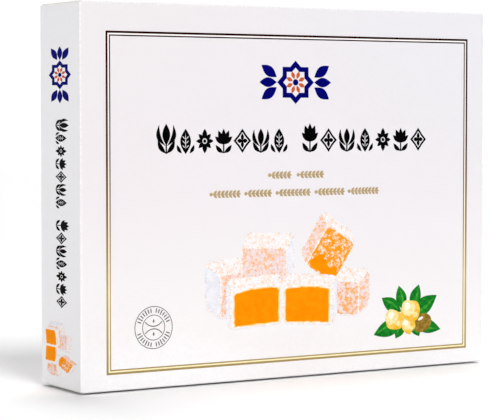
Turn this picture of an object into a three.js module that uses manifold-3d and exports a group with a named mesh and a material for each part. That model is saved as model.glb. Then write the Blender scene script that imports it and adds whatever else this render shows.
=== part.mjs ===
// A shut tuck-end carton of coated paperboard, the kind that holds a pound of lokum.
// It stands on its long bottom closure. Millimetres: +X to the right along the front
// wall, -Y out of the front wall, +Z up. The origin is at the centre of the base.

import * as THREE from 'three';
import { mergeVertices } from 'three/addons/utils/BufferGeometryUtils.js';
import Module from 'manifold-3d';

// Outside size.
const WIDTH = 220;
const DEPTH = 40;
const HEIGHT = 172;

// The board and its edges.
const BOARD = 0.5; // thickness of the board
const FOLD = 0.7; // outside radius of a folded edge
const RAW_EDGE_INSET = 0.9; // from a wall's face to the raw edge that lies over its fold
const TUCK_GAP = 0.3; // between the back wall and the tongue tucked in behind it
const TUCK_OPEN = 1.2; // depth to which that gap is open
const RAW_EDGE_DROP = 0.2; // back wall's raw edge, below the closure beside it
const NOTCH_RADIUS = 9; // thumb notch in the back wall's top edge

// How finely round edges are cut.
const FOLD_SEGMENTS = 8;
const NOTCH_SEGMENTS = 72;
const WELD = 1e-4; // vertices closer than this are one vertex

const LEFT = -WIDTH / 2;
const RIGHT = WIDTH / 2;
const FRONT = -DEPTH / 2;
const BACK = DEPTH / 2;
const BACK_INSIDE = BACK - BOARD;
const TONGUE = BACK_INSIDE - TUCK_GAP; // outer face of the tucked-in tongues

const QUARTER = Math.PI / 2;

const wasm = await Module();
wasm.setup();

// Geometry to a solid, with its shared vertices welded.
function toSolid(geometry) {
  geometry.deleteAttribute('normal');
  geometry.deleteAttribute('uv');
  const welded = mergeVertices(geometry, WELD);
  return new wasm.Manifold(new wasm.Mesh({
    numProp: 3,
    vertProperties: welded.attributes.position.array,
    triVerts: new Uint32Array(welded.index.array),
  }));
}

// Solid back to geometry, flat shaded.
function toGeometry(solid) {
  const { vertProperties, triVerts } = solid.getMesh();
  const indexed = new THREE.BufferGeometry();
  indexed.setAttribute('position', new THREE.BufferAttribute(new Float32Array(vertProperties), 3));
  indexed.setIndex(new THREE.BufferAttribute(new Uint32Array(triVerts), 1));
  const geometry = indexed.toNonIndexed();
  geometry.computeVertexNormals();
  return geometry;
}

// An outline drawn on the across and up axes, run right through the carton.
function throughSolid(outline, across, up) {
  const length = 2 * WIDTH;
  const geometry = new THREE.ExtrudeGeometry(outline, {
    depth: length,
    bevelEnabled: false,
    curveSegments: FOLD_SEGMENTS,
  });
  geometry.translate(0, 0, -length / 2);
  const along = new THREE.Vector3().crossVectors(across, up);
  geometry.applyMatrix4(new THREE.Matrix4().makeBasis(across, up, along));
  return toSolid(geometry);
}

// A quarter turn of folded board round (x, y), anticlockwise from the given quarter.
function fold(outline, x, y, quarter) {
  outline.absarc(x, y, FOLD, quarter * QUARTER, (quarter + 1) * QUARTER, false);
}

// Seen from above: four walls and three folds. At the back right corner the right wall
// folds in to a glue flap, and the raw edge of the back wall lies over it.
function wallsOutline() {
  const outline = new THREE.Shape();
  fold(outline, LEFT + FOLD, FRONT + FOLD, 2);
  fold(outline, RIGHT - FOLD, FRONT + FOLD, 3);
  fold(outline, RIGHT - FOLD, BACK_INSIDE - FOLD, 0);
  outline.lineTo(RIGHT - RAW_EDGE_INSET, BACK_INSIDE);
  outline.lineTo(RIGHT - RAW_EDGE_INSET, BACK);
  fold(outline, LEFT + FOLD, BACK - FOLD, 1);
  outline.closePath();
  return outline;
}

// Seen from the right: both closures fold out of the front wall, run to the back and
// turn in behind the back wall's raw edges.
function closuresOutline() {
  const outline = new THREE.Shape();
  fold(outline, FRONT + FOLD, FOLD, 2);
  fold(outline, TONGUE - FOLD, FOLD, 3);
  outline.lineTo(TONGUE, TUCK_OPEN);
  outline.lineTo(BACK_INSIDE, TUCK_OPEN);
  outline.lineTo(BACK_INSIDE, RAW_EDGE_DROP);
  outline.lineTo(BACK, RAW_EDGE_DROP);
  outline.lineTo(BACK, HEIGHT - RAW_EDGE_DROP);
  outline.lineTo(BACK_INSIDE, HEIGHT - RAW_EDGE_DROP);
  outline.lineTo(BACK_INSIDE, HEIGHT - TUCK_OPEN);
  outline.lineTo(TONGUE, HEIGHT - TUCK_OPEN);
  fold(outline, TONGUE - FOLD, HEIGHT - FOLD, 0);
  fold(outline, FRONT + FOLD, HEIGHT - FOLD, 1);
  outline.closePath();
  return outline;
}

// Seen from the front: the side walls fold in to dust flaps, and the closures lie on
// these with raw edges, one board's thickness proud.
function endsOutline() {
  const outline = new THREE.Shape();
  outline.moveTo(LEFT + RAW_EDGE_INSET, 0);
  outline.lineTo(RIGHT - RAW_EDGE_INSET, 0);
  outline.lineTo(RIGHT - RAW_EDGE_INSET, BOARD);
  fold(outline, RIGHT - FOLD, BOARD + FOLD, 3);
  fold(outline, RIGHT - FOLD, HEIGHT - BOARD - FOLD, 0);
  outline.lineTo(RIGHT - RAW_EDGE_INSET, HEIGHT - BOARD);
  outline.lineTo(RIGHT - RAW_EDGE_INSET, HEIGHT);
  outline.lineTo(LEFT + RAW_EDGE_INSET, HEIGHT);
  outline.lineTo(LEFT + RAW_EDGE_INSET, HEIGHT - BOARD);
  fold(outline, LEFT + FOLD, HEIGHT - BOARD - FOLD, 1);
  fold(outline, LEFT + FOLD, BOARD + FOLD, 2);
  outline.lineTo(LEFT + RAW_EDGE_INSET, BOARD);
  outline.closePath();
  return outline;
}

// A half-round thumb notch through the back wall, down to the tongue behind it.
function thumbNotch() {
  const length = 4 * (BACK - TONGUE);
  const geometry = new THREE.CylinderGeometry(NOTCH_RADIUS, NOTCH_RADIUS, length, NOTCH_SEGMENTS);
  geometry.translate(0, TONGUE + length / 2, HEIGHT);
  return toSolid(geometry);
}

const X = new THREE.Vector3(1, 0, 0);
const Y = new THREE.Vector3(0, 1, 0);
const Z = new THREE.Vector3(0, 0, 1);

const shutCarton = throughSolid(wallsOutline(), X, Y)
  .intersect(throughSolid(closuresOutline(), Y, Z))
  .intersect(throughSolid(endsOutline(), X, Z))
  .subtract(thumbNotch());

const coatedBoard = new THREE.MeshStandardMaterial({
  color: 0xf6f4f4,
  roughness: 0.42,
  metalness: 0,
});

const carton = new THREE.Mesh(toGeometry(shutCarton), coatedBoard);
carton.name = 'carton';

const group = new THREE.Group();
group.add(carton);

export default group;
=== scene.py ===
"""The looks of a shut sweet carton: its coated board, its print, and a studio to show it in.

Lengths of the carton and its print are in millimetres, and MM turns them into Blender's metres.
On a wall, x runs to the right and y down from the wall's top left corner, as a reader of the
print sees that wall.
"""

import math
import random

import bmesh
import bpy
from mathutils import Matrix, Vector
from mathutils.geometry import convex_hull_2d, delaunay_2d_cdt


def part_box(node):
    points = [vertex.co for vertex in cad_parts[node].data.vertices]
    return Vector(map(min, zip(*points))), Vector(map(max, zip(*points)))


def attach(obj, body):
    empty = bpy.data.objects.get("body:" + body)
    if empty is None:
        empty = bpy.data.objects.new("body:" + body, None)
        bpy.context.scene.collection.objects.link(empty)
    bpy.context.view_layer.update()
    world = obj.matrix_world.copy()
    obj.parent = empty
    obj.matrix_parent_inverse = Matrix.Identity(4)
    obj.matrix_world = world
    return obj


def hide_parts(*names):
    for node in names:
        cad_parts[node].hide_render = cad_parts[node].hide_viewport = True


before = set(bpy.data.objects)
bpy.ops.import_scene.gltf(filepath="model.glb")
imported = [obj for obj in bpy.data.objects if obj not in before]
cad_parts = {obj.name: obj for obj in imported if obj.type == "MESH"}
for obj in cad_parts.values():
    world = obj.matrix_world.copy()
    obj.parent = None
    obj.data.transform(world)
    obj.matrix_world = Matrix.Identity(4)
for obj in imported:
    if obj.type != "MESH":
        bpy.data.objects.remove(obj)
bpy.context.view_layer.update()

MM = 0.001


def add_object(name, data):
    """A new object in the scene."""
    made = bpy.data.objects.new(name, data)
    bpy.context.scene.collection.objects.link(made)
    return made


def add_piece(name, mesh, *materials):
    """A new object with a finished mesh and its materials."""
    data = bpy.data.meshes.new(name)
    mesh.to_mesh(data)
    mesh.free()
    for material in materials:
        data.materials.append(material)
    return add_object(name, data)


# ---- Sizes, in millimetres ----

CARTON_LOW, CARTON_HIGH = (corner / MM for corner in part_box("carton"))
WIDTH, DEPTH, HEIGHT = CARTON_HIGH - CARTON_LOW
LEFT, RIGHT, FRONT, BACK = -WIDTH / 2, WIDTH / 2, -DEPTH / 2, DEPTH / 2

BOARD = 0.5  # thickness of the board
FOLD = 0.7  # outside radius of a folded edge
RAW_EDGE_INSET = 0.9  # from a wall's face to the raw edge that lies over its fold

WALL_BOW = 0.3  # how far the front and back walls bulge in the middle
LID_BOW = 0.25
FOOT_LIFT = 0.95  # how far the lower folds stay clear of the floor, as the base sags between them
FOOT_REACH = 10.0  # how far in and up the lift fades out

INK_HEIGHT = 0.05  # how far print stands above the board
INK_ROOT = 0.08  # how deep a printed piece reaches into the board
CURVE_STEP = 8.0  # longest straight piece of a printed line on a bowed wall


# ---- Materials ----

NOISE_LOW, NOISE_HIGH = 0.3, 0.7  # nearly all values of a noise lie between these
INK_SPECULAR = 0.01  # keeps dark ink dark where a wall is seen at a low angle
INK_ROUGHNESS = (0.40, 0.50)  # of its smoothest and its roughest patches
GLOSSY_INK_ROUGHNESS = (0.30, 0.42)  # the same, of the black and of the frame's lines


def srgb(red, green, blue):
    """A display colour, 0 to 255, as Blender's linear colour."""
    def linear(value):
        value /= 255
        return value / 12.92 if value <= 0.04045 else ((value + 0.055) / 1.055) ** 2.4

    return (linear(red), linear(green), linear(blue), 1.0)


class Finish:
    """A material with a Principled shader, and short calls for the nodes that feed it."""

    def __init__(self, name, specular=0.5):
        self.material = bpy.data.materials.new(name)
        self.material.use_nodes = True
        self.tree = self.material.node_tree
        self.shader = self.tree.nodes["Principled BSDF"]
        self.shader.inputs["Specular IOR Level"].default_value = specular
        self.place = self.node("ShaderNodeTexCoord").outputs["Object"]

    def node(self, kind, **settings):
        """A new node with the given settings."""
        made = self.tree.nodes.new(kind)
        for name, value in settings.items():
            setattr(made, name, value)
        return made

    def feed(self, socket, value):
        """Links an output to a socket, or sets a number."""
        if isinstance(value, bpy.types.NodeSocket):
            self.tree.links.new(value, socket)
        else:
            socket.default_value = value

    def noise(self, size, detail=2.0, roughness=0.5):
        """Cloudy noise, 0 to 1, whose clouds are about size mm across."""
        made = self.node("ShaderNodeTexNoise")
        self.feed(made.inputs["Vector"], self.place)
        made.inputs["Scale"].default_value = 1 / (size * MM)
        made.inputs["Detail"].default_value = detail
        made.inputs["Roughness"].default_value = roughness
        return made.outputs["Fac"]

    def cloudy(self, size, low=0.0, high=1.0, **noise):
        """A number from low to high, in clouds about size mm across."""
        return self.spread(self.noise(size, **noise), NOISE_LOW, NOISE_HIGH, low, high)

    def maths(self, operation, *values):
        """One step of arithmetic with outputs and numbers."""
        made = self.node("ShaderNodeMath", operation=operation)
        for socket, value in zip(made.inputs, values):
            self.feed(socket, value)
        return made.outputs[0]

    def spread(self, value, low, high, to_low=0.0, to_high=1.0):
        """Turns low..high smoothly into to_low..to_high, and goes no further."""
        made = self.node("ShaderNodeMapRange", interpolation_type="SMOOTHSTEP")
        numbers = (value, low, high, to_low, to_high)
        for socket, number in zip(made.inputs, numbers):
            self.feed(socket, number)
        return made.outputs["Result"]

    def ramp(self, value, *stops):
        """A colour from stops of (place, colour), in order."""
        made = self.node("ShaderNodeValToRGB")
        elements = made.color_ramp.elements
        for element, (place, colour) in zip(elements, stops):
            element.position, element.color = place, colour
        for place, colour in stops[2:]:
            elements.new(place).color = colour
        self.feed(made.inputs["Fac"], value)
        return made.outputs["Color"]

    def blend(self, share, first, second):
        """A mix of two colours, with share of the second."""
        made = self.node("ShaderNodeMix", data_type="RGBA")
        self.feed(made.inputs["Factor"], share)
        self.feed(made.inputs[6], first)
        self.feed(made.inputs[7], second)
        return made.outputs[2]

    def axis(self, name):
        """One coordinate, in metres."""
        made = self.node("ShaderNodeSeparateXYZ")
        self.feed(made.inputs[0], self.place)
        return made.outputs[name]

    def height(self):
        """How high up the carton a point is, as a share of the carton's height."""
        return self.maths("DIVIDE", self.axis("Z"), HEIGHT * MM)

    def shifted(self, value, amount, cloud):
        """value, moved up and down by clouds."""
        return self.maths("MULTIPLY_ADD", self.maths("SUBTRACT", cloud, 0.5), amount, value)

    def colour(self, value):
        self.feed(self.shader.inputs["Base Color"], value)

    def roughness(self, value):
        self.feed(self.shader.inputs["Roughness"], value)

    def bump(self, height, depth):
        """Relief of the given height pattern, depth mm deep."""
        made = self.node("ShaderNodeBump")
        made.inputs["Strength"].default_value = 1.0
        made.inputs["Distance"].default_value = depth * MM
        self.feed(made.inputs["Height"], height)
        self.feed(self.shader.inputs["Normal"], made.outputs["Normal"])

    def board_grain(self, depth=0.006):
        """The faint relief that coated board has, and that print takes on."""
        fibres = self.noise(0.55, detail=4.0, roughness=0.6)
        waves = self.noise(6.0, detail=1.0)
        self.bump(self.maths("MULTIPLY_ADD", waves, 1.5, fibres), depth)


WORN, UNWORN = 0.3, 1.3  # distances from a fold at which it is fully worn, and not at all


def near_fold(finish):
    """1 on a folded edge, falling to 0 a little over a millimetre away."""
    gaps = []
    for name, half, middle in (("X", RIGHT, 0), ("Y", BACK, 0), ("Z", HEIGHT / 2, HEIGHT / 2)):
        from_middle = finish.maths("SUBTRACT", finish.axis(name), middle * MM)
        gaps.append(finish.maths("SUBTRACT", half * MM, finish.maths("ABSOLUTE", from_middle)))
    # Of the three gaps the smallest is the wall that the point is on, and the middle one
    # is the way to the nearest fold.
    first, second, third = gaps
    larger = finish.maths("MAXIMUM", first, second)
    smaller = finish.maths("MINIMUM", first, second)
    middle_gap = finish.maths("MAXIMUM", smaller, finish.maths("MINIMUM", larger, third))
    return finish.spread(middle_gap, WORN * MM, UNWORN * MM, 1.0, 0.0)


# Painted light and shade on the front and the back, brightest at the foot, by share of the carton's
# height.
FACE_PAINTED_SHADING = (
    (0.02, srgb(255, 253, 254)), (0.10, srgb(249, 245, 245)), (0.30, srgb(242, 237, 238)),
    (0.50, srgb(238, 232, 235)), (0.70, srgb(236, 230, 233)), (0.95, srgb(236, 231, 233)),
)
TONE_DRIFT = 0.3  # how much clouds shift those tones, as a share of the height
# A painted cool shade, strongest at the head on the right.
PAINTED_COOL_SHADE = srgb(222, 232, 244)
COOL_FOOT, COOL_HEAD = 0.04, 0.26  # shares of it on the front's right, at the foot and the head
NARROW_TONE = srgb(242, 241, 243)  # the narrow walls' tone
NARROW_TO, FACE_FROM = 1.2, 0.3  # distances from a face between which it turns to the face's
MOTTLE_TONE, MOTTLE = srgb(239, 235, 237), 0.25  # with the most of it that shows
SCUFF_TONE, SCUFF, SCUFF_ROUGHENS = srgb(252, 251, 250), 0.5, 0.2


def coated_board():
    """White board with a satin varnish, a little scuffed along its folds. The two faces carry
    painted
    light and shade: a painted cool shade at the head, most of all on the right, and a painted
    brighter, warmer white towards the foot."""
    finish = Finish("coated_board", specular=0.45)
    height = finish.height()
    # Painted light and shade: the ramp brightens the faces towards the foot, and a painted cool
    # shade darkens the head's right.
    place = finish.shifted(height, TONE_DRIFT, finish.noise(95.0, detail=1.0))
    tone = finish.ramp(place, *FACE_PAINTED_SHADING)
    rightward = finish.spread(finish.axis("X"), LEFT * MM, RIGHT * MM)
    coolest = finish.maths("MULTIPLY_ADD", height, COOL_HEAD - COOL_FOOT, COOL_FOOT)
    face = finish.blend(finish.maths("MULTIPLY", rightward, coolest), tone, PAINTED_COOL_SHADE)
    outward = finish.maths("ABSOLUTE", finish.axis("Y"))
    on_face = finish.spread(outward, (BACK - NARROW_TO) * MM, (BACK - FACE_FROM) * MM)
    paper = finish.blend(on_face, NARROW_TONE, face)
    mottle = finish.maths("MULTIPLY", finish.cloudy(1.6, detail=3.0), MOTTLE)
    mottled = finish.blend(mottle, paper, MOTTLE_TONE)
    scuff = finish.maths("MULTIPLY", near_fold(finish), finish.spread(finish.noise(1.1), 0.4, 0.65))
    finish.colour(finish.blend(finish.maths("MULTIPLY", scuff, SCUFF), mottled, SCUFF_TONE))
    satin = finish.cloudy(14.0, 0.36, 0.46, detail=3.0)
    finish.roughness(finish.maths("MULTIPLY_ADD", scuff, SCUFF_ROUGHENS, satin))
    finish.board_grain()
    return finish.material


def board_core():
    """The board's uncoated middle, which shows at raw edges as fine off-white layers."""
    finish = Finish("board_core")
    layers = finish.noise(0.18, detail=3.0, roughness=0.7)
    deep, pale = srgb(226, 221, 212), srgb(241, 238, 232)
    finish.colour(finish.ramp(layers, (NOISE_LOW, deep), (NOISE_HIGH, pale)))
    finish.roughness(finish.spread(layers, NOISE_LOW, NOISE_HIGH, 0.8, 0.92))
    finish.bump(layers, 0.03)
    return finish.material


def flat_ink(name, main, other, size, roughness=INK_ROUGHNESS):
    """Printed ink that lies a little unevenly, from one colour to a close one."""
    finish = Finish(name, specular=INK_SPECULAR)
    cloud = finish.cloudy(size, detail=3.0, roughness=0.6)
    finish.colour(finish.blend(cloud, srgb(*main), srgb(*other)))
    finish.roughness(finish.cloudy(0.9, *roughness))
    finish.board_grain()
    return finish.material


# Sugar covers the jelly where a noise is past an edge.
EDGE_LOW, EDGE_HIGH = 0.36, 0.64  # the edge if no jelly is bare, and if all of it is
COVER_BEFORE, COVER_AFTER = 0.03, 0.04  # how far round the edge the sugar thickens
GRAIN_SHADING = 0.8  # how far the grains of sugar reach into its shaded tone


def dusted_ink(name, jelly, sugar, shade, bare):
    """A printed picture of a dusted sweet: grains of sugar over jelly."""
    finish = Finish(name, specular=INK_SPECULAR)
    patches = finish.noise(1.8, detail=4.0, roughness=0.75)
    edge = EDGE_LOW + (EDGE_HIGH - EDGE_LOW) * bare
    covered = finish.spread(patches, edge - COVER_BEFORE, edge + COVER_AFTER)
    grains = finish.spread(finish.noise(0.8, detail=2.0, roughness=0.7), 0.40, 0.62)
    shading = finish.maths("MULTIPLY", grains, GRAIN_SHADING)
    sugared = finish.blend(shading, srgb(*sugar), srgb(*shade))
    finish.colour(finish.blend(covered, srgb(*jelly), sugared))
    finish.roughness(finish.spread(grains, 0.0, 1.0, 0.42, 0.52))
    finish.board_grain()
    return finish.material


LINE_DRIFT = 0.08  # how much clouds shift a line's tones, as a share of the height


def shaded_line(name, tones):
    """A printed line whose tone turns with the share of the carton's height."""
    finish = Finish(name, specular=INK_SPECULAR)
    place = finish.shifted(finish.height(), LINE_DRIFT, finish.noise(5.0))
    finish.colour(finish.ramp(place, *tones))
    finish.roughness(finish.cloudy(0.7, *GLOSSY_INK_ROUGHNESS))
    finish.board_grain(depth=0.004)
    return finish.material


# Each ink's colour, a close one that it clouds into, and the size of the clouds.
PLAIN_INKS = {
    "navy": ((0, 2, 98), (4, 6, 114), 2.2),
    "orange": ((192, 78, 38), (208, 110, 60), 1.2),
    "black": ((0, 0, 0), (8, 7, 7), 1.5, GLOSSY_INK_ROUGHNESS),
    "gold": ((176, 151, 108), (190, 167, 126), 1.4),
    "grey": ((94, 92, 95), (116, 114, 117), 1.4),
}
PICTURE_INKS = {
    "tan": ((206, 140, 70), (226, 170, 112), 1.0),
    "jelly": ((253, 138, 0), (254, 151, 6), 3.0),
    "jelly_edge": ((255, 206, 96), (255, 226, 160), 1.0),
    "shade": ((229, 229, 237), (243, 242, 247), 2.4),
    "leaf": ((12, 102, 32), (34, 142, 42), 2.0),
    "leaf_light": ((26, 140, 40), (80, 170, 60), 1.6),
    "gum": ((242, 219, 126), (249, 239, 198), 1.8),
    "gum_deep": ((240, 180, 40), (250, 210, 100), 1.6),
    "nut": ((128, 96, 24), (164, 134, 60), 1.8),
    "gleam": ((255, 252, 240), (252, 244, 224), 1.2),
}
# The colours of jelly, of sugar and of the sugar's shaded grains, and the share of jelly left bare.
DUSTED_INKS = {
    "sugar": ((250, 224, 206), (251, 247, 247), (242, 234, 237), 0.32),
    "blush": ((248, 190, 140), (245, 228, 227), (234, 205, 202), 0.34),
    "rose": ((246, 176, 104), (245, 226, 225), (238, 207, 203), 0.42),
    "amber": ((252, 154, 18), (251, 231, 213), (246, 194, 138), 0.62),
}
# The tones of the frame's lines and of the cream between them, by the share of the height.
LINE_TONES = (
    (0.05, srgb(168, 144, 92)), (0.25, srgb(188, 166, 116)), (0.40, srgb(147, 119, 78)),
    (0.50, srgb(116, 85, 48)), (0.60, srgb(76, 42, 23)), (0.78, srgb(44, 10, 2)),
    (0.97, srgb(38, 3, 0)),
)
CREAM_TONES = (
    (0.03, srgb(255, 245, 196)), (0.30, srgb(255, 243, 208)), (0.62, srgb(253, 246, 238)),
    (0.97, srgb(252, 247, 246)),
)


def print_materials():
    """Every printed material, by the name that the artwork uses."""
    materials = {
        "line": shaded_line("bronze_line", LINE_TONES),
        "cream": shaded_line("cream_line", CREAM_TONES),
    }
    for kind, inks in (("ink", PLAIN_INKS), ("print", PICTURE_INKS)):
        for ink, look in inks.items():
            materials[ink] = flat_ink(f"{ink}_{kind}", *look)
    for ink, look in DUSTED_INKS.items():
        materials[ink] = dusted_ink(f"{ink}_print", *look)
    return materials


# ---- Walls ----


class Wall:
    """One face of the carton, with a reader's x to the right and y down from its top left."""

    def __init__(self, corner, right, down, width, height, bow=0.0):
        self.corner, self.right, self.down = Vector(corner), Vector(right), Vector(down)
        self.out = self.down.cross(self.right)
        self.width, self.height, self.bow = width, height, bow

    def bulge(self, x, y):
        """How far the bowed board stands out at (x, y)."""
        across, along = 2 * x / self.width - 1, 2 * y / self.height - 1
        return self.bow * max(0.0, 1 - across * across) * max(0.0, 1 - along * along)

    def at(self, x, y, lift):
        """The point lift mm out of the board at (x, y), in metres."""
        flat = self.corner + self.right * x + self.down * y
        return (flat + self.out * (self.bulge(x, y) + lift)) * MM


WALLS = {
    "front": Wall((LEFT, FRONT, HEIGHT), (1, 0, 0), (0, 0, -1), WIDTH, HEIGHT, WALL_BOW),
    "back": Wall((RIGHT, BACK, HEIGHT), (-1, 0, 0), (0, 0, -1), WIDTH, HEIGHT, WALL_BOW),
    "left": Wall((LEFT, FRONT, HEIGHT), (0, 0, -1), (0, 1, 0), HEIGHT, DEPTH),
    "right": Wall((RIGHT, BACK, HEIGHT), (0, 0, -1), (0, -1, 0), HEIGHT, DEPTH),
    "lid": Wall((LEFT, BACK, HEIGHT), (1, 0, 0), (0, -1, 0), WIDTH, DEPTH, LID_BOW),
}


# ---- Board ----

GRID_STEP = 10.0  # spacing of the cuts that let the walls bow
FOLD_SUPPORT = 0.35  # width of the strip beside each fold that keeps the walls' shading flat
SHARP_ANGLE = math.radians(30)
FLAT_ANGLE = math.radians(0.5)  # CAD triangles that turn less than this are one flat face
SAME_VERTEX, SAME_CUT = 1e-6, 1e-7  # distances, in metres, that count as none
ON_WALL, ON_EDGE = 1e-3, 0.05  # distances from a wall or a raw edge, in mm, that count as none
FACING, SQUARE = 0.9, 0.1  # a normal's least part on an axis it faces, and most on one across it
COATED, CORE = 0, 1  # the board's material slots


def cut_places(low, high):
    """Where to cut the board along one axis: close beside each fold, and evenly between."""
    inner_low, inner_high = low + FOLD + FOLD_SUPPORT, high - FOLD - FOLD_SUPPORT
    count = max(1, round((inner_high - inner_low) / GRID_STEP))
    return [inner_low + (inner_high - inner_low) * k / count for k in range(count + 1)]


def cut_board(mesh):
    """Grid cuts right through the board, which leave its shape as it is."""
    spans = ((0, LEFT, RIGHT), (1, FRONT, BACK), (2, 0.0, HEIGHT))
    for axis, low, high in spans:
        normal = Vector((0, 0, 0))
        normal[axis] = 1
        for place in cut_places(low, high):
            everything = mesh.verts[:] + mesh.edges[:] + mesh.faces[:]
            plane = {"plane_co": normal * place * MM, "plane_no": normal}
            bmesh.ops.bisect_plane(mesh, geom=everything, dist=SAME_CUT, **plane)


def bow_board(mesh):
    """Moves each vertex that lies on a bowed wall out by that wall's bulge."""
    for vertex in mesh.verts:
        for wall in (WALLS["front"], WALLS["back"], WALLS["lid"]):
            away = vertex.co / MM - wall.corner
            if abs(away.dot(wall.out)) < ON_WALL:
                vertex.co += wall.out * wall.bulge(away.dot(wall.right), away.dot(wall.down)) * MM


def lift_foot(mesh):
    """Raises the lower folds a little, so that the carton rests on the middle of its base."""
    for vertex in mesh.verts:
        x, y, z = vertex.co / MM
        inward = min(RIGHT - abs(x), BACK - abs(y))
        fade = max(0.0, 1 - inward / FOOT_REACH) * max(0.0, 1 - z / FOOT_REACH)
        vertex.co.z += FOOT_LIFT * fade * MM


def is_raw_edge(face):
    """True for the faces where the board was cut and its core shows."""
    middle, normal = face.calc_center_median() / MM, face.normal
    back_wall_edge = middle.y > BACK - BOARD and abs(normal.y) < SQUARE and middle.x > LEFT + FOLD
    closure_end = (
        min(middle.z, HEIGHT - middle.z) < BOARD
        and abs(normal.x) > FACING
        and abs(abs(middle.x) - (RIGHT - RAW_EDGE_INSET)) < ON_EDGE
    )
    return back_wall_edge or closure_end


def make_board():
    """The folded board. It has the outline of the CAD carton, with bowed walls and raw edges."""
    mesh = bmesh.new()
    mesh.from_mesh(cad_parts["carton"].data)
    bmesh.ops.remove_doubles(mesh, verts=mesh.verts, dist=SAME_VERTEX)
    bmesh.ops.dissolve_limit(mesh, angle_limit=FLAT_ANGLE, verts=mesh.verts, edges=mesh.edges)
    cut_board(mesh)
    bmesh.ops.recalc_face_normals(mesh, faces=mesh.faces)
    for face in mesh.faces:
        face.smooth = True
        face.material_index = CORE if is_raw_edge(face) else COATED
    bow_board(mesh)
    lift_foot(mesh)
    for edge in mesh.edges:
        edge.smooth = edge.calc_face_angle(math.pi) < SHARP_ANGLE
    board = add_piece("carton_board", mesh, coated_board(), board_core())
    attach(board, "root")
    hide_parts("carton")


# ---- Outlines: lists of (x, y), y down ----


def around(distance, turn, cx=0.0, cy=0.0):
    """The point at a distance from (cx, cy), turn radians clockwise from straight up."""
    return (cx + distance * math.sin(turn), cy - distance * math.cos(turn))


def rectangle(x0, y0, x1, y1, step=None):
    """A rectangle, with points at most step apart along its sides."""
    corners = [(x0, y0), (x1, y0), (x1, y1), (x0, y1)]
    outline = []
    for (ax, ay), (bx, by) in zip(corners, corners[1:] + corners[:1]):
        parts = math.ceil(math.hypot(bx - ax, by - ay) / step) if step else 1
        outline += [(ax + (bx - ax) * k / parts, ay + (by - ay) * k / parts) for k in range(parts)]
    return outline


def ellipse(cx, cy, rx, ry=None, steps=40):
    """An ellipse, or a circle if ry is left out."""
    ry = rx if ry is None else ry
    turns = [2 * math.pi * k / steps for k in range(steps)]
    return [(cx + rx * math.cos(turn), cy + ry * math.sin(turn)) for turn in turns]


def lozenge(cx, cy, width, height):
    """A diamond, from its left corner on."""
    side, rise = width / 2, height / 2
    return [(cx - side, cy), (cx, cy - rise), (cx + side, cy), (cx, cy + rise)]


def leaf(tip, end, right, left, steps=12):
    """A pointed leaf from tip to end. Its sides swell by shares of its length to the right and
    left of the way from tip to end, and a negative share makes a crescent."""
    (ax, ay), (bx, by) = tip, end
    dx, dy = bx - ax, by - ay
    there = [(k / steps, right) for k in range(steps)]
    back_again = [(1 - k / steps, -left) for k in range(steps)]
    outline = []
    for share, swell in there + back_again:
        side = swell * math.sin(math.pi * share)
        outline.append((ax + dx * share - dy * side, ay + dy * share + dx * side))
    return outline


def star(cx, cy, outer, inner, points):
    """A star whose first point is at the top."""
    return [
        around(inner if k % 2 else outer, math.pi * k / points, cx, cy) for k in range(2 * points)
    ]


def band(cx, cy, radius, thickness, start, end, steps=24):
    """A bent strip from start to end, in degrees clockwise from the top."""
    def along(reach, order):
        turns = [math.radians(start + (end - start) * k / steps) for k in order]
        return [around(reach, turn, cx, cy) for turn in turns]

    outer, inner = radius + thickness / 2, radius - thickness / 2
    return along(outer, range(steps + 1)) + along(inner, range(steps, -1, -1))


def clockwise_area(outline):
    """The area inside an outline: above 0 if it runs clockwise, and below 0 if not."""
    sides = zip(outline, outline[1:] + outline[:1])
    return sum(ax * by - bx * ay for (ax, ay), (bx, by) in sides) / 2


CORNER_SHARE = 0.45  # most of a side that the rounding of one corner takes


def rounded(outline, radius, steps=4):
    """The outline with its corners rounded."""
    result = []
    for k, corner in enumerate(outline):
        here = Vector(corner)
        before = Vector(outline[k - 1]) - here
        after = Vector(outline[(k + 1) % len(outline)]) - here
        start = here + before.normalized() * min(radius, before.length * CORNER_SHARE)
        end = here + after.normalized() * min(radius, after.length * CORNER_SHARE)
        for step in range(steps + 1):
            share = step / steps
            first, last = start.lerp(here, share), here.lerp(end, share)
            result.append(tuple(first.lerp(last, share)))
    return result


def uneven(outline, amount, chance, step=1.2):
    """The outline redrawn by an unsteady hand: points step apart, moved by up to amount."""
    result = []
    for (ax, ay), (bx, by) in zip(outline, outline[1:] + outline[:1]):
        length = math.hypot(bx - ax, by - ay)
        parts = max(1, round(length / step))
        for k in range(parts):
            share = k / parts
            shift = chance.uniform(-amount, amount), chance.uniform(-amount, amount)
            result.append((ax + (bx - ax) * share + shift[0], ay + (by - ay) * share + shift[1]))
    return result


def shrunk(outline, by):
    """The outline drawn in towards its middle by about a given distance."""
    middle = sum((Vector(p) for p in outline), Vector((0, 0))) / len(outline)
    result = []
    for point in outline:
        away = Vector(point) - middle
        result.append(tuple(middle + away * max(0.0, 1 - by / away.length)))
    return result


def placed(outline, x, y, scale_x=1.0, scale_y=1.0, degrees=0.0):
    """The outline scaled, turned clockwise about its origin, and moved there."""
    turn = math.radians(degrees)
    result = []
    for px, py in outline:
        sx, sy = px * scale_x, py * scale_y
        result.append((
            x + sx * math.cos(turn) - sy * math.sin(turn),
            y + sx * math.sin(turn) + sy * math.cos(turn),
        ))
    return result


# ---- Artwork: lists of (ink, outline), each painted over the ones before ----

BARE = None  # paints the board free of ink again

LINE_WIDTH, LINE_GAP, THIN_LINE_WIDTH = 0.95, 0.68, 0.58


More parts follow.
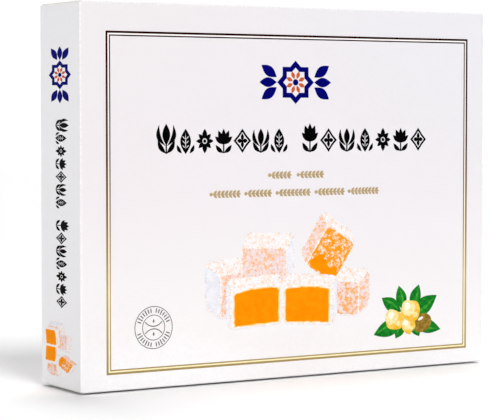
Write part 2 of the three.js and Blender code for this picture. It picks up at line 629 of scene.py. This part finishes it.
def double_frame(left, top, right, bottom):
    """A wide line along the given sides, with a fine one inside it and cream between."""
    inside = LINE_WIDTH / 2
    insets = (
        ("line", -inside),
        ("cream", inside),
        ("line", inside + LINE_GAP),
        (BARE, inside + LINE_GAP + THIN_LINE_WIDTH),
    )
    return [
        (ink, rectangle(left + inset, top + inset, right - inset, bottom - inset, CURVE_STEP))
        for ink, inset in insets
    ]


def emblem(half_width, reach):
    """An eight-pointed star with a rosette in it, between two sprays of leaves."""
    waist, hollow = 0.765, 0.68  # the star's inner corners and its hollow, as shares of its size
    art = [
        ("navy", star(0, 0, reach, reach * waist, 8)),
        (BARE, star(0, 0, reach * hollow, reach * hollow * waist, 8)),
        ("navy", ellipse(0, 0, reach * 0.15)),
    ]
    for k in range(8):
        turn = math.radians(45 * k + 22.5)
        petal = leaf(around(reach * 0.17, turn), around(reach * 0.54, turn), 0.25, 0.25)
        art.append(("orange", petal))
    gap = 0.3
    start, spray = reach + gap, half_width - reach - gap
    for side in (-1, 1):
        for rise, reach_out in ((0.78, 0.88), (0.0, 1.0), (-0.78, 0.88)):
            end = (side * (start + spray * reach_out), -rise * reach)
            art.append(("navy", leaf((side * start, -rise * reach * 0.30), end, 0.24, 0.24)))
    return art


def mirrored(art):
    """The artwork and its mirror image about x = 0."""
    return art + [(ink, [(-x, y) for x, y in outline]) for ink, outline in art]


# The frieze's motifs stand on the origin.
STEM = 0.35  # half the width of a stem


def tulip(height):
    """A tulip between two leaves."""
    middle = [
        ("black", rectangle(-STEM, -0.36 * height, STEM, 0)),
        ("black", leaf((0, -0.27 * height), (0, -height), 0.20, 0.20)),
    ]
    halves = [
        ("black", leaf((0.1, -0.1), (4.3, -0.46 * height), 0.24, 0.06)),
        ("black", leaf((0.4, -0.26 * height), (3.6, -0.97 * height), 0.30, -0.08)),
    ]
    return middle + mirrored(halves)


def cypress(height):
    """A pointed tree with a veined crown, between two small leaves."""
    middle = [
        ("black", leaf((0, 0.02 * height), (0, -height), 0.24, 0.24)),
        (BARE, leaf((0, -0.16 * height), (0, -0.84 * height), 0.03, 0.03)),
    ]
    halves = [
        (BARE, leaf((0.2, -(low + 0.02) * height), (1.7, -(low + 0.15) * height), 0.10, 0.10))
        for low in (0.2, 0.38, 0.56)
    ]
    halves.append(("black", leaf((2.0, -0.1), (4.4, -0.36 * height), 0.26, 0.10)))
    return middle + mirrored(halves)


def rosette(height):
    """A flower of eight petals."""
    middle, reach = -height / 2, 4.5
    art = []
    for k in range(8):
        turn = math.radians(45 * k)
        end = around(height / 2 if k % 4 == 0 else reach, turn, 0, middle)
        art.append(("black", leaf(around(0.5, turn, 0, middle), end, 0.24, 0.24)))
    art.append((BARE, ellipse(0, middle, 1.25, steps=20)))
    art.append(("black", ellipse(0, middle, 0.8, steps=16)))
    return art


def carnation(height):
    """A fan of petals over two leaves."""
    root = -0.36 * height
    middle = [
        ("black", rectangle(-STEM, root, STEM, 0)),
        ("black", leaf((0, root), (0, -height), 0.17, 0.17)),
    ]
    halves = [
        ("black", leaf((0.1, -0.1), (4.2, -0.34 * height), 0.26, 0.10)),
        ("black", leaf((0.1, root), (2.8, -0.93 * height), 0.18, 0.18)),
        ("black", leaf((0.1, root), (4.5, -0.68 * height), 0.20, 0.20)),
    ]
    return middle + mirrored(halves)


def medallion(height):
    """A pointed panel with a small flower in it."""
    middle, squeeze = -height / 2, 0.84
    art = [
        ("black", star(0, middle, height * 0.5, height * 0.33, 4)),
        (BARE, star(0, middle, height * 0.36, height * 0.24, 4)),
    ]
    for k in range(4):
        end = around(height * 0.30, math.radians(90 * k), 0, middle)
        art.append(("black", leaf((0, middle), end, 0.30, 0.30)))
    return [(ink, placed(outline, 0, 0, squeeze)) for ink, outline in art]


TALL, LOW = 13.4, 11.1  # heights of the frieze's first motif and of the others
FRIEZES = (
    (tulip, cypress, rosette, carnation, medallion, tulip, cypress),
    (carnation, medallion, tulip, cypress, rosette, carnation, medallion),
)


def frieze(*spans, scale_x=1.0):
    """A run of motifs over each span of x, on the line y = 0."""
    art = []
    for (start, end), motifs in zip(spans, FRIEZES):
        pitch = (end - start) / len(motifs)
        for k, motif in enumerate(motifs):
            for ink, outline in motif(LOW if k else TALL):
                art.append((ink, placed(outline, start + pitch * (k + 0.5), 0, scale_x)))
    return art


GARLAND_STEP, GARLAND_HEIGHT = 2.0, 3.4
GARLAND_STEM = 0.22  # half its width
STEM_START, STEM_END = 1.0, 1.2  # its distances from a run's two ends
BERRY_AT, BERRY_RADIUS = 0.8, 0.85
PAIRS_START, PAIRS_LEAVE = 2.0, 2.4  # where a run's pairs start, and the length they leave free
END_LEAF = 1.6  # length of the leaf at a run's end


def garland(*spans):
    """Runs of small gold leaves in pairs along a stem, with a berry at the head of each run."""
    art = []
    middle = -GARLAND_HEIGHT / 2
    for start, end in spans:
        count = round((end - start - PAIRS_LEAVE) / GARLAND_STEP)
        pitch = (end - start - PAIRS_LEAVE) / count
        top, bottom = middle - GARLAND_STEM, middle + GARLAND_STEM
        outlines = [
            rectangle(start + STEM_START, top, end - STEM_END, bottom),
            ellipse(start + BERRY_AT, middle, BERRY_RADIUS, steps=12),
        ]
        for k in range(count):
            x = start + PAIRS_START + pitch * k
            for side in (-1, 1):
                tip = (x + pitch * 0.95, middle + side * GARLAND_HEIGHT / 2)
                outlines.append(leaf((x, middle), tip, 0.25, 0.25, steps=6))
        outlines.append(leaf((end - END_LEAF, middle), (end, middle), 0.3, 0.3, steps=6))
        art += [("gold", outline) for outline in outlines]
    return art


SEAL_LINE, SEAL_RAY = 0.34, 0.26  # a ring's thickness, and half a ray's
SEAL_INNER, SEAL_RAYS_AT = 0.6, 0.8  # shares of the radius, to the inner ring and mid-ray
SEAL_RAYS = 36


def seal(radius):
    """A round seal of fine lines: two rings, rays between them, and two bows in the middle."""
    art = []
    for reach, steps in ((radius, 72), (radius * SEAL_INNER, 60)):
        art.append(("grey", ellipse(0, 0, reach, steps=steps)))
        art.append((BARE, ellipse(0, 0, reach - SEAL_LINE, steps=steps)))
    # One ray is left out at the head and the foot, and three on each side.
    half_turn, side = SEAL_RAYS // 2, SEAL_RAYS // 4
    left_out = (0, side - 1, side, side + 1)
    for k in range(SEAL_RAYS):
        if k % half_turn not in left_out:
            half_length, middle = radius * (0.2 if k % 3 else 0.26) / 2, -radius * SEAL_RAYS_AT
            ray = rectangle(-SEAL_RAY, middle - half_length, SEAL_RAY, middle + half_length)
            art.append(("grey", placed(ray, 0, 0, degrees=360 * k / SEAL_RAYS)))
    bow = band(0, -radius * 0.62, radius * 0.56, SEAL_LINE * 1.3, 128, 232)
    dot = lozenge(0, -radius * 0.30, 1.0, 1.9)
    for degrees in (0, 180):
        art += [("grey", placed(outline, 0, 0, degrees=degrees)) for outline in (bow, dot)]
    return art


# A heap of lokum is drawn from small boxes, seen from a little above.
LOOK_DOWN = math.radians(18)
SLIVER = 0.5  # a face that is seen smaller than this, in square millimetres, isn't drawn
HEAP_SEED, SPRIG_SEED = 12, 5


class Sweet:
    """One piece of lokum as a box: x across, y away from the reader and z up, in millimetres."""

    # Corners in half widths, half depths and heights, anticlockwise from outside.
    FACES = {
        "front": ((-1, -1, 0), (1, -1, 0), (1, -1, 1), (-1, -1, 1)),
        "top": ((-1, -1, 1), (1, -1, 1), (1, 1, 1), (-1, 1, 1)),
        "left": ((-1, 1, 0), (-1, -1, 0), (-1, -1, 1), (-1, 1, 1)),
        "right": ((1, -1, 0), (1, 1, 0), (1, 1, 1), (1, -1, 1)),
        "end": ((-1, -1, 0), (-1, 1, 0), (1, 1, 0), (1, -1, 0)),
    }

    def __init__(self, place, size, yaw, lean=0.0, cut=False):
        self.place, self.size, self.cut = Vector(place), size, cut
        self.turn = Matrix.Rotation(math.radians(yaw), 3, "Z") @ Matrix.Rotation(
            math.radians(lean), 3, "Y"
        )

    def seen(self, corner):
        """A corner of the box on the picture, y down."""
        width, depth, height = self.size
        local = Vector((corner[0] * width / 2, corner[1] * depth / 2, corner[2] * height))
        point = self.turn @ local + self.place
        return (point.x, -(point.z * math.cos(LOOK_DOWN) + point.y * math.sin(LOOK_DOWN)))

    def faces(self):
        """The faces that the reader sees, by name."""
        for name, corners in self.FACES.items():
            outline = [self.seen(corner) for corner in corners]
            if clockwise_area(outline) < -SLIVER:
                yield name, outline

    def hull(self):
        """The outline of the whole box."""
        corners = [self.seen((x, y, z)) for x in (-1, 1) for y in (-1, 1) for z in (0, 1)]
        return [corners[k] for k in convex_hull_2d([Vector(c) for c in corners])]


def across(outline, u, v):
    """The point at shares u to the right and v up of a four-cornered face, drawn from its lower
    left corner on."""
    lower_left, lower_right, upper_right, upper_left = (Vector(corner) for corner in outline)
    return tuple(lower_left.lerp(lower_right, u).lerp(upper_left.lerp(upper_right, u), v))


# Outlines on a face, as shares of its width and height: a cut's jelly, and bare jelly low down.
CUT_FACE = ((0.055, 0.04), (0.945, 0.03), (0.955, 0.86), (0.72, 0.91), (0.40, 0.915), (0.05, 0.83))
BARE_PART = ((0.08, 0.06), (0.92, 0.06), (0.90, 0.36), (0.62, 0.24), (0.34, 0.44), (0.10, 0.26))

# Shares of a face: where grains cluster, how far they scatter, and where they may lie.
CLUSTER_LOW, CLUSTER_HIGH, CLUSTER_SPREAD = 0.3, 0.7, 0.17
GRAIN_LOW, GRAIN_HIGH = 0.1, 0.9
# The ink of the grains on each ink.
GRAINS_ON = {
    "blush": "amber", "rose": "jelly", "amber": "sugar", "shade": "sugar", "sugar": "blush",
}


def grains(outline, ink, chance, clusters=2, count=8):
    """Small grains scattered in loose clusters over a four-cornered face."""
    art = []
    for _ in range(clusters):
        middle = [chance.uniform(CLUSTER_LOW, CLUSTER_HIGH) for _ in range(2)]
        for _ in range(count):
            shares = [chance.gauss(share, CLUSTER_SPREAD) for share in middle]
            u, v = (min(GRAIN_HIGH, max(GRAIN_LOW, share)) for share in shares)
            size = chance.uniform(0.4, 1.0)
            grain = lozenge(0, 0, size, size * 0.75)
            x, y = across(outline, u, v)
            art.append((ink, placed(grain, x, y, degrees=chance.uniform(0, 180))))
    return art


SPECK_WIDTH, SPECK_SPACING = 0.35, 1.5


def specks(outline, ink, chance):
    """Fine specks strewn along about half of an outline."""
    art = []
    for x, y in uneven(outline, 0.3, chance, step=SPECK_SPACING):
        length = chance.uniform(SPECK_WIDTH, 0.9)
        if chance.random() < 0.5:
            speck = lozenge(0, 0, length, SPECK_WIDTH)
            art.append((ink, placed(speck, x, y, degrees=chance.uniform(0, 180))))
    return art


def draw_sweet(sweet, tones, chance):
    """The sweet's dusted outline, its faces, and its jelly where it is cut."""
    hull = rounded(sweet.hull(), 2.8)
    shadow = placed(shrunk(hull, -0.25), 0, 0.3)
    art = [("shade", uneven(shadow, 0.2, chance)), ("sugar", uneven(hull, 0.2, chance))]
    for name, outline in sweet.faces():
        if sweet.cut and name == "front":
            cut = [across(outline, u, v) for u, v in CUT_FACE]
            cut = uneven(rounded(cut, 1.6), 0.24, chance, step=2.2)
            art += [("jelly_edge", cut), ("jelly", shrunk(cut, 0.6))]
        else:
            inset = 0.5 if name == "top" else 0.8
            face = uneven(rounded(shrunk(outline, inset), 2.0), 0.22, chance)
            ink = tones.get(name, "sugar")
            art.append((ink, face))
            if ink == "amber":
                bare = [across(outline, u, v) for u, v in BARE_PART]
                art.append(("jelly", uneven(rounded(bare, 1.4), 0.3, chance)))
            art += grains(outline, GRAINS_ON[ink], chance)
            art += specks(face, "tan", chance)
    return art


def lokum_heap():
    """A heap about 91 mm wide and 53 mm high, drawn about the middle of its foot."""
    chance = random.Random(HEAP_SEED)
    dusty = {"front": "blush", "left": "sugar", "right": "shade", "end": "blush"}
    glowing = {"front": "amber", "left": "blush", "right": "sugar", "end": "amber"}
    pale = {"front": "blush", "left": "shade", "right": "blush", "end": "sugar"}
    rosy = {"front": "rose", "left": "sugar", "right": "blush", "end": "sugar"}
    sweets = (
        (Sweet((-33, 15, 2), (20, 20, 21), 24), pale),
        (Sweet((31, 13, 0), (21, 20, 17), -18), rosy),
        (Sweet((-13, 14, 16), (25, 22, 19), -9), dusty),
        (Sweet((14, 15, 20), (19, 20, 23), 8, lean=34), glowing),
        (Sweet((-20, 0, 0), (28, 12, 20.5), 11, cut=True), pale),
        (Sweet((10, -1, 0), (28.5, 12, 20.5), -12, cut=True), dusty),
    )
    art = []
    for sweet, tones in sweets:
        art += draw_sweet(sweet, tones, chance)
    return art


def drawn_leaf(length, width, degrees, x, y):
    """A green leaf from its stalk at (x, y), with a lighter half."""
    swell = width / 2 / length
    parts = (
        ("leaf", leaf((0, 0), (0, -length), swell, swell)),
        ("leaf_light", leaf((0, -length * 0.12), (0, -length * 0.88), swell * 0.55, -0.02)),
    )
    return [(ink, placed(outline, x, y, degrees=degrees)) for ink, outline in parts]


def lump(x, y, radius, chance, sides=9):
    """A clear lump of gum with a deep side, paler facets and a gleam."""
    def blob(cx, cy, reach):
        turns = [2 * math.pi * (k + chance.uniform(-0.3, 0.3)) / sides for k in range(sides)]
        sizes = [reach * chance.uniform(0.8, 1.1) for _ in turns]
        points = [(size * math.cos(t), size * math.sin(t)) for size, t in zip(sizes, turns)]
        return placed(rounded(points, reach * 0.3), cx, cy)

    return [
        ("gum_deep", blob(x, y, radius)),
        ("gum", blob(x - radius * 0.22, y - radius * 0.20, radius * 0.68)),
        ("gum", blob(x + radius * 0.42, y + radius * 0.34, radius * 0.26)),
        ("gleam", blob(x - radius * 0.34, y - radius * 0.34, radius * 0.32)),
    ]


def sprig():
    """Leaves, three lumps of gum and a nut, about 40 mm wide and 25 mm high round its middle."""
    chance = random.Random(SPRIG_SEED)
    art = []
    # Each leaf's length, width, lean in degrees, and the place of its stalk.
    leaves = (
        (19.0, 8.0, -108, -1.5, 3.5), (13.5, 6.6, -58, -3.5, -1.0), (12.5, 6.2, -14, -2.0, -1.5),
        (13.0, 6.4, 20, 2.5, -1.5), (19.0, 8.4, 58, 1.5, 2.0), (17.5, 7.0, 104, 3.0, 4.5),
        (9.0, 5.6, 152, 3.0, 3.5), (9.5, 5.8, -150, -2.0, 3.5),
    )
    for length, width, degrees, x, y in leaves:
        art += drawn_leaf(length, width, degrees, x, y)
    art += [
        ("nut", placed(ellipse(0, 0, 5.6, 4.4, steps=28), 9.0, 5.0, degrees=-24)),
        ("gleam", placed(ellipse(0, 0, 1.7, 0.7, steps=16), 8.0, 2.9, degrees=-24)),
    ]
    for x, y, radius in ((-7.6, 2.6, 5.9), (0.6, 6.0, 4.4), (2.2, -1.4, 6.0)):
        art += lump(x, y, radius, chance)
    return art


# ---- Printing: artwork to thin solids on the walls, one piece for each ink ----

INSIDE_SHAPES = 1  # delaunay_2d_cdt's output of triangles inside the shapes
SAME_POINT = 1e-4  # points closer than this, in millimetres, are one


def clockwise(outline):
    """The outline drawn clockwise, as a reader sees it."""
    return outline if clockwise_area(outline) > 0 else outline[::-1]


def flatten(art):
    """Cuts artwork into triangles that don't overlap, each with the ink painted last there.
    Returns the points and {ink: triangles}."""
    points, shapes = [], []
    for _, outline in art:
        start = len(points)
        points += [Vector(point) for point in clockwise(outline)]
        shapes.append(range(start, len(points)))
    places, _, triangles, _, _, painted_by = delaunay_2d_cdt(
        points, [], shapes, INSIDE_SHAPES, SAME_POINT, True
    )
    by_ink = {}
    for triangle, shapes_here in zip(triangles, painted_by):
        ink = art[max(shapes_here)][0] if shapes_here else BARE
        if ink is not BARE:
            by_ink.setdefault(ink, []).append(triangle)
    return places, by_ink


def islands(triangles):
    """Triangles grouped by shared sides."""
    by_side = {}
    for number, triangle in enumerate(triangles):
        for k in range(3):
            side = frozenset((triangle[k], triangle[k - 1]))
            by_side.setdefault(side, []).append(number)
    left, groups = set(range(len(triangles))), []
    while left:
        group, reached = [], [left.pop()]
        while reached:
            number = reached.pop()
            group.append(triangles[number])
            triangle = triangles[number]
            for k in range(3):
                for other in by_side[frozenset((triangle[k], triangle[k - 1]))]:
                    if other in left:
                        left.remove(other)
                        reached.append(other)
        groups.append(group)
    return groups


def raise_island(mesh, wall, places, triangles):
    """Adds one closed flat solid, from just inside the board to just above it."""
    used = sorted({corner for triangle in triangles for corner in triangle})
    top = {k: mesh.verts.new(wall.at(*places[k], INK_HEIGHT)) for k in used}
    root = {k: mesh.verts.new(wall.at(*places[k], -INK_ROOT)) for k in used}
    for triangle in triangles:
        mesh.faces.new([top[k] for k in triangle])
        mesh.faces.new([root[k] for k in reversed(triangle)])
    sides = [(triangle[k - 1], triangle[k]) for triangle in triangles for k in range(3)]
    shared = set(sides)
    for start, end in sides:
        if (end, start) not in shared:
            mesh.faces.new((top[end], top[start], root[start], root[end]))


class Press:
    """Collects the print of all walls, one mesh for each ink."""

    def __init__(self):
        self.meshes = {}

    def stamp(self, wall_name, art, x=0.0, y=0.0, scale_x=1.0, scale_y=1.0):
        """Prints artwork on a wall with its origin at (x, y)."""
        moved = [(ink, placed(outline, x, y, scale_x, scale_y)) for ink, outline in art]
        places, by_ink = flatten(moved)
        for ink, triangles in by_ink.items():
            mesh = self.meshes.setdefault(ink, bmesh.new())
            for island in islands(triangles):
                raise_island(mesh, WALLS[wall_name], places, island)

    def finish(self):
        """Makes one piece of each ink's mesh."""
        materials = print_materials()
        for ink, mesh in self.meshes.items():
            bmesh.ops.recalc_face_normals(mesh, faces=mesh.faces)
            piece = add_piece("print_" + ink, mesh, materials[ink])
            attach(piece, "root")


# Places on the front wall. The frame's are the middles of its wide line.
FRAME_LEFT, FRAME_RIGHT, FRAME_TOP, FRAME_BOTTOM = 13.0, WIDTH - 10.3, 13.3, HEIGHT - 8.6
EMBLEM_AT, EMBLEM_HALF_WIDTH, EMBLEM_REACH = (110.7, 34.6), 19.6, 10.0
TITLE_LINE, TITLE_SPANS = 66.9, ((37.6, 106.6), (113.4, 185.8))
SMALL_LINE, SMALL_SPANS = 79.0, ((95.7, 108.5), (111.3, 126.5))
LONG_LINE = 87.2
LONG_SPANS = ((64.7, 81.2), (83.0, 97.9), (99.8, 119.1), (121.2, 138.2), (139.8, 157.7))
HEAP_AT = (108.5, 144.8)
SPRIG_AT = (174.6, 145.1)
SEAL_AT, SEAL_RADIUS = (36.0, 144.1), 9.6


def print_face(press, wall_name):
    """The front's and the back's print."""
    press.stamp(wall_name, double_frame(FRAME_LEFT, FRAME_TOP, FRAME_RIGHT, FRAME_BOTTOM))
    press.stamp(wall_name, emblem(EMBLEM_HALF_WIDTH, EMBLEM_REACH), *EMBLEM_AT)
    press.stamp(wall_name, frieze(*TITLE_SPANS), y=TITLE_LINE)
    press.stamp(wall_name, garland(*SMALL_SPANS), y=SMALL_LINE)
    press.stamp(wall_name, garland(*LONG_SPANS), y=LONG_LINE)
    press.stamp(wall_name, lokum_heap(), *HEAP_AT)
    press.stamp(wall_name, sprig(), *SPRIG_AT)
    press.stamp(wall_name, seal(SEAL_RADIUS), *SEAL_AT)


# Places on a narrow wall, whose print reads along it.
SPINE_EMBLEM_AT, SPINE_EMBLEM_SCALE = (31.9, 19.8), (0.64, 1.12)
SPINE_TITLE_LINE, SPINE_MOTIF_SCALE = 24.5, 0.58
SPINE_TITLE_SPANS = ((51.3, 91.2), (95.7, 135.3))
SPINE_HEAP_AT, SPINE_HEAP_SCALE = (154.2, 34.6), (0.27, 0.62)


def print_spine(press, wall_name, start=0.0):
    """The sides' and the lid's print, which begins at start along the wall."""
    x, y = SPINE_EMBLEM_AT
    mark = emblem(EMBLEM_HALF_WIDTH, EMBLEM_REACH)
    press.stamp(wall_name, mark, start + x, y, *SPINE_EMBLEM_SCALE)
    title = frieze(*SPINE_TITLE_SPANS, scale_x=SPINE_MOTIF_SCALE)
    press.stamp(wall_name, title, start, SPINE_TITLE_LINE)
    x, y = SPINE_HEAP_AT
    press.stamp(wall_name, lokum_heap(), start + x, y, *SPINE_HEAP_SCALE)


def print_carton():
    """The print of every wall but the base."""
    press = Press()
    for wall_name in ("front", "back"):
        print_face(press, wall_name)
    for wall_name in ("left", "right"):
        print_spine(press, wall_name)
    print_spine(press, "lid", (WIDTH - HEIGHT) / 2)
    press.finish()


# ---- Studio ----

CAMERA_AT = (-487.4, -784.4, 123.5)
CAMERA_YAW, CAMERA_PITCH = 31.06, 2.85  # degrees to the right of +Y, and down
CAMERA_LENS = 144.5  # on Blender's 36 mm wide sensor
CAMERA_CLIP = (50.0, 50000.0)
FLOOR_SIDE, FLOOR_CUTS = 6000.0, 24


def make_camera():
    """The camera at the photo's viewing angle."""
    data = bpy.data.cameras.new("camera")
    data.lens = CAMERA_LENS
    data.clip_start, data.clip_end = (distance * MM for distance in CAMERA_CLIP)
    camera = add_object("camera", data)
    camera.location = Vector(CAMERA_AT) * MM
    camera.rotation_euler = (math.radians(90 - CAMERA_PITCH), 0, -math.radians(CAMERA_YAW))
    bpy.context.scene.camera = camera


def make_floor():
    """A wide white floor with the faint tooth of studio card."""
    finish = Finish("studio_card", specular=0.2)
    tooth = finish.noise(2.5, detail=3.0)
    deep, pale = srgb(252, 252, 252), srgb(254, 254, 254)
    finish.colour(finish.ramp(tooth, (NOISE_LOW, deep), (NOISE_HIGH, pale)))
    finish.roughness(finish.spread(tooth, NOISE_LOW, NOISE_HIGH, 0.7, 0.85))
    mesh = bmesh.new()
    bmesh.ops.create_grid(
        mesh, x_segments=FLOOR_CUTS, y_segments=FLOOR_CUTS, size=FLOOR_SIDE / 2 * MM
    )
    add_piece("floor", mesh, finish.material)


# The surroundings are a white backdrop round the horizon and dark overhead.
BACKDROP, OVERHEAD = 1.03, 0.0  # strengths
BACKDROP_TOP, OVERHEAD_FROM = 0.08, 0.22  # upward parts of a direction, between which it fades
LIGHTS = {
    # name: (the direction it comes from, its breadth in degrees, strength)
    "key": ((0, -960, 1150), 24, 1.86),
    "left": ((-1430, -380, 210), 60, 1.14),
    "right": ((1140, 460, 860), 30, 0.43),
    "rim": ((210, 570, 1370), 16, 0.67),
    "top": ((170, 200, 1480), 14, 0.75),
}


def soft_light(name, source, breadth, strength):
    """Light from far away, as soft as its source is broad."""
    data = bpy.data.lights.new(name, "SUN")
    data.angle, data.energy = math.radians(breadth), strength
    light = add_object(name, data)
    light.location = Vector(source) * MM
    light.rotation_euler = Vector(source).to_track_quat("Z", "Y").to_euler()


def make_surroundings():
    """The white backdrop, which fades to dark overhead."""
    world = bpy.data.worlds.new("studio")
    world.use_nodes = True
    tree = world.node_tree
    direction = tree.nodes.new("ShaderNodeTexCoord").outputs["Generated"]
    parts = tree.nodes.new("ShaderNodeSeparateXYZ")
    strength = tree.nodes.new("ShaderNodeMapRange")
    strength.interpolation_type = "SMOOTHSTEP"
    limits = (BACKDROP_TOP, OVERHEAD_FROM, BACKDROP, OVERHEAD)
    for socket, value in zip(strength.inputs[1:5], limits):
        socket.default_value = value
    background = tree.nodes["Background"]
    background.inputs["Color"].default_value = (1, 1, 1, 1)
    tree.links.new(direction, parts.inputs[0])
    tree.links.new(parts.outputs["Z"], strength.inputs["Value"])
    tree.links.new(strength.outputs["Result"], background.inputs["Strength"])
    bpy.context.scene.world = world


def make_light():
    """The backdrop and the lamps, shown without a tone curve."""
    make_surroundings()
    for name, (source, breadth, strength) in LIGHTS.items():
        soft_light(name, source, breadth, strength)
    bpy.context.scene.view_settings.view_transform = "Standard"


make_camera()
make_board()
print_carton()
make_floor()
make_light()
